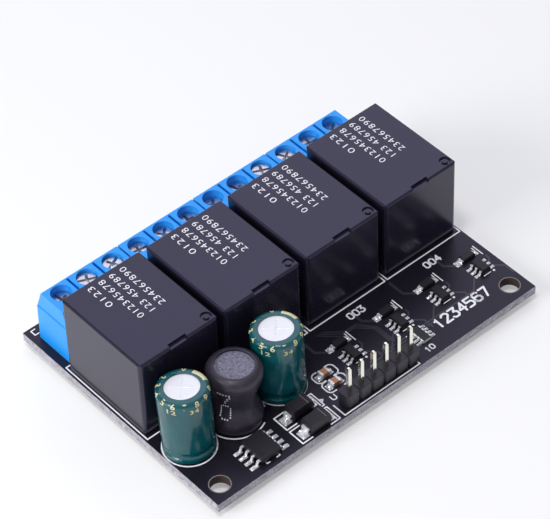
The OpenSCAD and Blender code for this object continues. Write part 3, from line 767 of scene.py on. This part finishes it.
# %% Channel marks
marks = bmesh.new()
for x in channels:
    spot(marks, (x + 1.35, driver_y - 1.7), 0.42)
    bar(marks, (x - 0.75, driver_y - 1.62), (x + 0.75, driver_y - 1.62), 0.16)
    bar(marks, (x - 0.7, driver_y + 1.62), (x + 0.7, driver_y + 1.62), 0.16)
    pen(marks, [(x + 2.55, clamp_y - 1.0), (x + 2.55, clamp_y + 1.3)], 0.2)
    pen(marks, [(x + 2.1, clamp_y - 0.2), (x + 2.1, clamp_y + 1.1)], 0.17)
keep("print_channel_marks", marks, "print_white")

# %% [markdown]
# ## Numbers on the board
# A number stands in front of each relay, a row of figures fills the place of
# the board's large print, and the twelve poles are counted along the wire
# side, where whoever wires the board looks for them.

# %% Board numbers
relay_step = middle("relay_2_cover").x - middle("relay_1_cover").x
figures = bmesh.new()
for i in range(4):
    left = 56.2 - relay_step * (3 - i)
    stroke_figures(figures, "00%d" % (i + 1), left, 14.4, 1.5, 3.4, 0.27)
stroke_figures(figures, "1234567", 48.6, 3.5, 2.25, 11.6, 0.37)
stroke_figures(figures, "10", 43.9, 1.15, 1.15, 1.8, 0.22)
poles = []
for i in range(1, 5):
    low, high = span("terminal_%d_housing" % i)
    poles += [low.x + (high.x - low.x) * along for along in (1 / 6, 3 / 6, 5 / 6)]
for n, x in enumerate(poles, 1):
    wide = 0.8 if n < 10 else 1.7
    stroke_figures(figures, str(n), x - wide / 2, 45.72, 1.3, wide, 0.2)
pen(figures, [(1.9, 46.9), (1.15, 46.9), (1.15, 45.8), (1.9, 45.8)], 0.2)
keep("print_numbers", figures, "print_white")
print(len(poles), "poles counted")

# %% [markdown]
# ## Numbers on the relays
# Each case carries four lines, pad-printed in white. They read from the front
# of the case to the back and end on one line. A little figure is thin and
# crisp, so the font is made a touch lighter than its own weight.

# %% Relay numbers
PAD_PRINT = 0.012
LINE_END = 35.6
case_print = bmesh.new()
rows = ((5.36, "0123", 5.2), (7.46, "012345678", 10.1),
        (9.51, "123 456789", 10.1), (11.56, "234567890", 10.1))
upwards = Matrix.Rotation(math.radians(90), 4, "Z") @ Matrix.Scale(MM, 4)
for i in range(1, 5):
    low, high = span("relay_%d_cover" % i)
    for x, text, length in rows:
        place = Matrix.Translation(on_board(low.x + x, LINE_END - length, high.z))
        put(case_print, numbers(text, 1.12, length, -0.008, PAD_PRINT), place @ upwards)
keep("relay_numbers", case_print, "print_white")

# %% [markdown]
# ## Cathode marks on the rectifiers
# A rectifier's cathode end carries a line burnt in by a laser: the compound
# turns a lighter, matt grey there, and hardly stands proud.

# %% Laser lines
burnt = new_finish(
    "laser mark in moulding compound", {"Roughness": 0.75},
    tone=("#4a4854", "#6a6873", 7.0, 4), relief=(0, 4, 12.0))
RECTIFIERS = ("rectifier_1_body", "rectifier_2_body")
cathodes = bmesh.new()
for part in RECTIFIERS:
    low, high = span(part)
    x = high.x - 0.95
    bar(cathodes, (x, low.y + 0.25), (x, high.y - 0.25), 0.16, high.z, high.z + PAD_PRINT)
keep("cathode_lines", cathodes, "print_white", burnt)

# %% [markdown]
# ## A bead of solder
# Reflowed solder creeps from the pad up the toe of each lead and freezes in an
# uneven bead. A bead starts as a sphere, is flattened, and is cut off level
# with the board, since its lower half would lie inside it. The cut leaves a
# hole, which is closed with a face.

# %% Bead
BEAD_FOOT = 0.02


def bead(shape, x, y, wide, deep, high, sides=14):
    older = set(shape.verts)
    ball = bmesh.ops.create_uvsphere(shape, u_segments=sides, v_segments=8, radius=1.0)["verts"]
    bmesh.ops.scale(shape, vec=(wide / 2 * MM, deep / 2 * MM, high * MM), verts=ball)
    faces = list(dict.fromkeys(f for v in ball for f in v.link_faces))
    edges = list(dict.fromkeys(e for v in ball for e in v.link_edges))
    cut = bmesh.ops.bisect_plane(shape, geom=ball + edges + faces, plane_co=(0, 0, 0),
                                 plane_no=(0, 0, 1), clear_inner=True)
    rim = [e for e in cut["geom_cut"] if isinstance(e, bmesh.types.BMEdge)]
    bmesh.ops.contextual_create(shape, geom=rim)
    made = [v for v in shape.verts if v not in older]
    bmesh.ops.translate(shape, vec=on_board(x, y, BEAD_FOOT), verts=made)


print("a bead starts", BEAD_FOOT, "mm over the board, inside its pad")

# %% [markdown]
# ## Joints
# A joint is a thin pad with one main bead and a few small ones beside it. The
# small ones come from a seeded random, so they differ from joint to joint and
# keep the solder from looking cast, yet are the same each time.

# %% Joint
PAD = 0.035
dice = random.Random(4)


def joint(shape, x, y, wide, deep, high, lumps):
    bar(shape, (x - wide / 2, y), (x + wide / 2, y), deep, 0.0, PAD)
    bead(shape, x, y, wide * 0.96, deep * 0.94, high)
    for _ in range(lumps):
        size = dice.uniform(0.45, 0.7)
        bead(shape, x + wide * dice.uniform(-0.24, 0.24), y + deep * dice.uniform(-0.2, 0.2),
             wide * size, deep * size, high * dice.uniform(1.1, 1.35), 10)


print("pads are", PAD, "mm thick")

# %% [markdown]
# ## Solder of the power parts
# The regulator has two rows of four leads on a 1.27 mm pitch. The rectifiers
# have one broad tab at each end, and the left one carries more solder.

# %% Beads of the power parts
SIDES = (-1, 1)
ROW_OF_FOUR = (-1.5, -0.5, 0.5, 1.5)
beads = bmesh.new()
regulator = middle("regulator_body")
for side in SIDES:
    for k in ROW_OF_FOUR:
        joint(beads, regulator.x + side * 3.05, regulator.y + 1.27 * k, 1.45, 0.66, 0.3, 2)
for part in RECTIFIERS:
    body = middle(part)
    joint(beads, body.x - 2.75, body.y, 1.35, 1.7, 0.75, 4)
    joint(beads, body.x + 2.6, body.y, 0.95, 1.7, 0.6, 3)
keep("solder_on_power_parts", beads, "solder")

# %% [markdown]
# ## Solder of the small parts
# The driver chips have three leads on either side, the clamp diodes one tab at
# each end. The chip capacitors and the resistor array have solder where their
# metal ends meet the board.

# %% Beads of the small parts
small_beads = bmesh.new()
for x in channels:
    for side in SIDES:
        for row in (-0.95, 0.0, 0.95):
            joint(small_beads, x + side * 1.58, driver_y + row, 0.86, 0.52, 0.2, 1)
    joint(small_beads, x - 1.95, clamp_y, 1.1, 1.15, 0.36, 3)
    joint(small_beads, x + 1.75, clamp_y, 0.8, 1.1, 0.3, 2)
for part in ("chip_capacitor_1_body", "chip_capacitor_2_body"):
    body = middle(part)
    for side in SIDES:
        joint(small_beads, body.x + side * 1.12, body.y, 0.85, 1.2, 0.42, 2)
array = middle("resistor_array_body")
for side in SIDES:
    for k in ROW_OF_FOUR:
        joint(small_beads, array.x + side * 1.35, array.y + 0.8 * k, 1.05, 0.46, 0.3, 2)
keep("solder_on_small_parts", small_beads, "solder")

# %% [markdown]
# ## Copper under the mask
# Tracks lie under the solder mask and show as faint raised lines, since the
# mask over copper looks a little lighter. They are drawn with the same pen,
# with the bends at 45 degrees that board designers use.

# %% Tracks on the upper face
TRACK = 0.022
PIN_1, PIN_STEP = 28.1, 2.54
track_mask = new_finish(
    "black solder mask over copper", {"Roughness": 0.3},
    tone=("#2a2731", "#3a3742", 2.2, 5), relief=(0, 6, 3.0))
tracks = bmesh.new()
for n, x in enumerate(channels):
    pin = PIN_1 + PIN_STEP * (n + 1)
    lane = 4.3 + 0.55 * n
    lead_y = driver_y - 0.95
    lines = (
        (0.26, [(x - 2.3, lead_y), (x - 2.3 - (lead_y - lane), lane), (pin + 0.7, lane),
                (pin, lane - 0.7), (pin, 3.3)]),
        (0.5, [(x - 2.6, clamp_y), (x - 4.0, clamp_y + 1.2), (x - 4.0, 16.2)]),
        (0.3, [(x + 1.9, driver_y), (x + 2.7, driver_y + 0.8), (x + 2.7, clamp_y - 1.6)]),
        (0.3, [(x + 2.2, lead_y), (x + 3.4, driver_y - 2.1), (x + 3.4, driver_y - 4.0)]),
    )
    for width, points in lines:
        pen(tracks, points, width, 0.0, TRACK)
for k in range(3):
    pen(tracks, [(33.5 + k * 0.55, 15.6), (36.2 + k * 0.55, 12.9 + k * 0.2),
                 (38.9 + k * 0.4, 12.9 + k * 0.2), (41.2 + k * 0.3, 10.6),
                 (41.2 + k * 0.3, 7.2 - k * 0.5)], 0.24, 0.0, TRACK)
keep("tracks_over", tracks, "board_black", track_mask)

# %% [markdown]
# ## Copper on the underside
# Relay contacts switch mains current, so their tracks are wide strips. On the
# underside they run from each relay's pins to the terminal behind it. A thin
# common rail feeds the four coils. The parts' places come from the CAD model.

# %% Underside tracks of the relays
POLE_STEP, CONTACT_OFF, COIL_RAIL = 5.08, 6.0, 17.6
below = {"low": -board_t - TRACK, "high": -board_t}
under = bmesh.new()
for i in range(1, 5):
    relay, block = middle("relay_%d_cover" % i), middle("terminal_%d_contacts" % i)
    for side in SIDES:
        pin, pole = relay.x + side * CONTACT_OFF, block.x + side * POLE_STEP
        pen(under, [(pin, 34.3), (pin, 36.4), (pole, 38.0), (pole, 38.8)], 2.4, **below)
    pen(under, [(relay.x, 20.1), (relay.x, 36.6), (block.x, 37.6), (block.x, 38.8)], 2.6, **below)
    coil = relay.x - CONTACT_OFF
    pen(under, [(coil, 22.1), (coil, COIL_RAIL)], 0.9, **below)
pen(under, [(2.35, COIL_RAIL), (51.85, COIL_RAIL)], 0.9, **below)
print(len(under.verts), "points so far")

# %% [markdown]
# ## The other underside tracks
# Two strips join the choke to the capacitors beside it. Each header pin has a
# thin line that ends at a via, a plated hole that takes it to the other face.

# %% Underside tracks of the supply and the header
VIA = 0.8
choke_foot = span("choke_leads")
foot_y = middle("choke_leads").y
for start, end in ((span("capacitor_1_leads")[1].x, choke_foot[0].x),
                   (choke_foot[1].x, span("capacitor_2_leads")[0].x)):
    pen(under, [(start - 0.3, foot_y), (end + 0.3, foot_y)], 1.6, **below)
for k in range(6):
    pin = PIN_1 + PIN_STEP * k
    via = (pin + 2.0 + 0.6 * k, 6.4 + k)
    pen(under, [(pin, 2.05), (pin, 4.4 + 0.4 * k), via], 0.35, **below)
    spot(under, via, VIA, -board_t - TRACK - 0.003, -board_t)
keep("tracks_under", under, "board_black", track_mask)

# %% [markdown]
# ## Rings of bare laminate and painted highlight
# The mask keeps clear of the mounting holes, since a drill would tear it, so a
# thin ring of laminate is left round each hole. Its pale grey is also a painted
# highlight, standing for the light caught on the hole's edge. The rings are a
# little thicker than they are in life, so they don't fight with the board's own
# face.

# %% Rings at the mounting holes
HOLE_Y, HOLE_RING, RING_WIDTH, RING_T = 2.95, 1.70, 0.16, 0.02
# painted highlight: the ring's pale grey also stands for the light on each hole's edge
laminate = new_finish(
    "bare laminate ring with painted highlight", {"Roughness": 0.7},
    tone=("#5d5a5c", "#8a8684", 5.0, 4), relief=(0, 4, 10.0))
rings = bmesh.new()
for hole_x in (2.85, 63.35):
    for low in (0.0, -board_t - RING_T):
        ring(rings, hole_x, HOLE_Y, HOLE_RING, RING_WIDTH, low=low, high=low + RING_T)
keep("hole_rings", rings, "board_black", laminate)

# %% [markdown]
# ## The axis of a leaning part
# The capacitors lean a little, and so does what is printed on them. The axis
# of such a part runs between the middles of its two ends. Its surface is kept
# in a tree that can be asked where a ray meets it.

# %% Surface and axis of a round part
END_BAND = 0.9


def round_part(part):
    """Its surface as a tree, and the points where its axis starts and ends."""
    shape = bmesh.new()
    shape.from_mesh(parts[part].data)
    tree = BVHTree.FromBMesh(shape)
    ends = []
    for height in (corner.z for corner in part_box(part)):
        near = [v.co for v in shape.verts if abs(v.co.z - height) < END_BAND * MM]
        ends.append(Vector([(min(c[k] for c in near) + max(c[k] for c in near)) / 2
                            for k in range(3)]))
    shape.free()
    return tree, ends[0], ends[1]


skins = {part: round_part(part)
         for part in ("capacitor_1_sleeve", "capacitor_2_sleeve", "choke_sleeve")}
print(len(skins), "sleeves can be printed on")

# %% [markdown]
# ## Wrapping marks round a sleeve
# Marks on a round sleeve are drawn flat, with x as the distance along the
# girth and y as the height. Each vertex is then carried to the sleeve: a ray
# goes from outside towards the middle, and the vertex is set down where it
# hits. Over the rounded shoulder the ray tips over, so a mark can run on across
# the top.

# %% Wrap onto a part
RAY_START, RAY_REACH = 0.02, 0.04


def wrap(shape, part, facing, radius, lift=0.0, shoulder=0.0):
    """Lays a flat drawing, in millimetres, on a round part; facing is the angle of x = 0."""
    tree, foot, crown = skins[part]
    lean = (crown - foot) / (crown.z - foot.z)
    curl = shoulder * MM
    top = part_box(part)[1].z - lean.xy.length * radius * MM
    for vert in shape.verts:
        angle = math.radians(facing) + vert.co.x / radius
        out = Vector((math.cos(angle), math.sin(angle), 0))
        brow = top - curl - lean.xy.dot(out.xy) * radius * MM
        height = on_board(0, 0, vert.co.y).z
        past = max(height - brow, 0) if shoulder else 0.0
        tip = min(past / curl, math.pi / 2) if past else 0.0
        inward = max(past - curl * math.pi / 2, 0)
        hub = foot + lean * (height - past - foot.z)
        aim = hub + out * (radius * MM - curl - inward)
        way = math.cos(tip) * out + Vector((0, 0, math.sin(tip)))
        hit = tree.ray_cast(aim + way * RAY_START, -way, RAY_REACH)[0]
        if hit is None:
            raise RuntimeError("a mark misses " + part)
        vert.co = hit + way * (vert.co.z + lift) * MM
    return shape


print("rays start", RAY_START, "m out")

# %% [markdown]
# ## Flat strips that can bend
# A plain bar has corners only at its ends and would cut through the sleeve. So
# it is cut across many times before it is wrapped.

# %% Strip
def strip(shape, low, high, thick, cuts):
    """A flat bar from one corner to another, cut across so it can bend."""
    size = (high[0] - low[0], high[1] - low[1], thick)
    place = ((high[0] + low[0]) / 2, (high[1] + low[1]) / 2, thick / 2)
    made = bmesh.ops.create_cube(shape, size=1.0)["verts"]
    bmesh.ops.scale(shape, vec=size, verts=made)
    bmesh.ops.translate(shape, vec=place, verts=made)
    cut_along(shape, made, 0, cuts)


def cut_along(shape, verts, axis, cuts):
    """Cuts each edge that runs along an axis."""
    edges = dict.fromkeys(e for v in verts for e in v.link_edges)
    along = [e for e in edges if abs((e.verts[0].co - e.verts[1].co)[axis]) > 0.01]
    bmesh.ops.subdivide_edges(shape, edges=along, cuts=cuts)


print("strips are cut before they are wrapped")

# %% [markdown]
# ## Band and minus signs
# A pale band down one side, which runs over the shoulder and a little way in
# across the top, marks the negative lead. It carries a row of minus signs, in
# the colour of the sleeve.

# %% Capacitor band
FILM_INK, BAND_HALF, OVER_TOP = 0.02, 1.6, 0.4
SLEEVE_R, SHOULDER = 4.15, 0.7
MINUS_COUNT, MINUS_STEP = 5, 2.2
band = new_finish(
    "pale yellow printed band", {"Roughness": 0.3},
    tone=("#c9c48f", "#ddd8b2", 2.0, 4), relief=(0, 200, 0.55, 4, (1, 1, 0.3)))


def mark_negative(name, facing):
    sleeve = name + "_sleeve"
    low, high = span(sleeve)
    stripe, minus = bmesh.new(), bmesh.new()
    strip(stripe, (-BAND_HALF, low.z + 1.3), (BAND_HALF, high.z + OVER_TOP), FILM_INK, 24)
    cut_along(stripe, stripe.verts, 1, 60)
    keep(name + "_band", wrap(stripe, sleeve, facing, SLEEVE_R, 0, SHOULDER), "print_white", band)
    for k in range(MINUS_COUNT):
        y = low.z + 2.1 + MINUS_STEP * k
        strip(minus, (-0.3, y - 0.7), (0.3, y + 0.7), FILM_INK, 6)
    wrap(minus, sleeve, facing, SLEEVE_R, 0.03, SHOULDER)
    keep(name + "_minus", minus, "sleeve_teal", teal_film)


print("the band is", 2 * BAND_HALF, "mm wide")

# %% [markdown]
# ## Figures on the capacitors
# A ring of figures in pale gold stands just under the shoulder, one every 27
# degrees, and misses the band. Two short numbers stand below it on the side
# that is seen. Each figure is wrapped on its own, so it stays undistorted.

# %% Capacitor marks
def print_figures(name, facing):
    sleeve = name + "_sleeve"
    crown = span(sleeve)[1].z
    marks = [(str(k % 10), 1.05, 0.72, 0.015, crown - 0.95, facing + 45 + 27 * k)
             for k in range(11)]
    marks += [("12", 0.8, 1.5, 0.01, crown - 2.0, 205), ("34", 0.8, 1.5, 0.01, crown - 2.0, 255)]
    words = bmesh.new()
    for text, height, length, weight, foot, angle in marks:
        figure = numbers(text, height, length, weight, FILM_INK)
        bmesh.ops.translate(figure, vec=(-length / 2, foot, 0), verts=figure.verts)
        put(words, wrap(figure, sleeve, angle, SLEEVE_R, 0, SHOULDER), Matrix.Identity(4))
    keep(name + "_figures", words, "print_white", gold_ink)


for name, facing in (("capacitor_1", 2), ("capacitor_2", 14)):
    mark_negative(name, facing)
    print_figures(name, facing)

# %% [markdown]
# ## Marks on the choke
# An ink-jet printer has sprayed two figures on the choke's sleeve, as dots in
# a grid of five by seven. Each is a ten-sided disc, laid on like other marks.

# %% Choke figures
NOUGHT = ("01110", "10001", "10001", "10001", "10001", "10001", "01110")
SEVEN = ("11111", "00001", "00001", "00010", "00010", "00100", "00100")
DOT_R, DOT_STEP_X, DOT_STEP_Y = 0.15, 0.5, 0.42
CHOKE_R, CHOKE_FACING = 4.4, 207
dots = bmesh.new()
for figure, head in ((SEVEN, 8.9), (NOUGHT, 5.6)):
    for row, line in enumerate(figure):
        for column in (n for n, here in enumerate(line) if here == "1"):
            centre = (-1.05 + column * DOT_STEP_X, head - row * DOT_STEP_Y, INK / 2)
            disc(dots, centre, DOT_R, INK, 10)
keep("choke_figures", wrap(dots, "choke_sleeve", CHOKE_FACING, CHOKE_R), "print_white")

# %% [markdown]
# ## The resistor array
# A thick-film array is a small bar of white alumina with a black glaze over
# its top. One finish serves both: faces that look up take the glaze.

# %% Array finish
array_finish = new_finish("glazed alumina", relief=(0, 3, 9.0))
normal = add(array_finish, "NewGeometry").outputs["Normal"]
facing_up = add(array_finish, "SeparateXYZ", {0: normal}).outputs["Z"]
glazed = add(array_finish, "Math", {0: facing_up, 1: 0.7}, operation="GREATER_THAN").outputs[0]
array_tones = []
for per_mm, low, high in ((8.0, "#c9c8c4", "#e6e5e0"), (6.0, "#191920", "#26262e")):
    ends = {FACTOR: grain(array_finish, per_mm), COLOUR_A: colour(low), COLOUR_B: colour(high)}
    array_tones.append(add(array_finish, "Mix", ends, data_type="RGBA").outputs[MIXED])
both = {FACTOR: glazed, COLOUR_A: array_tones[0], COLOUR_B: array_tones[1]}
array_tone = add(array_finish, "Mix", both, data_type="RGBA").outputs[MIXED]
array_finish.node_tree.links.new(array_tone, shader_input(array_finish, "Base Color"))
drive(array_finish, "Roughness", glazed, 0.6, 0.5)
parts["resistor_array_body"].data.materials[0] = array_finish
print(array_finish.name, "goes on the resistor array")
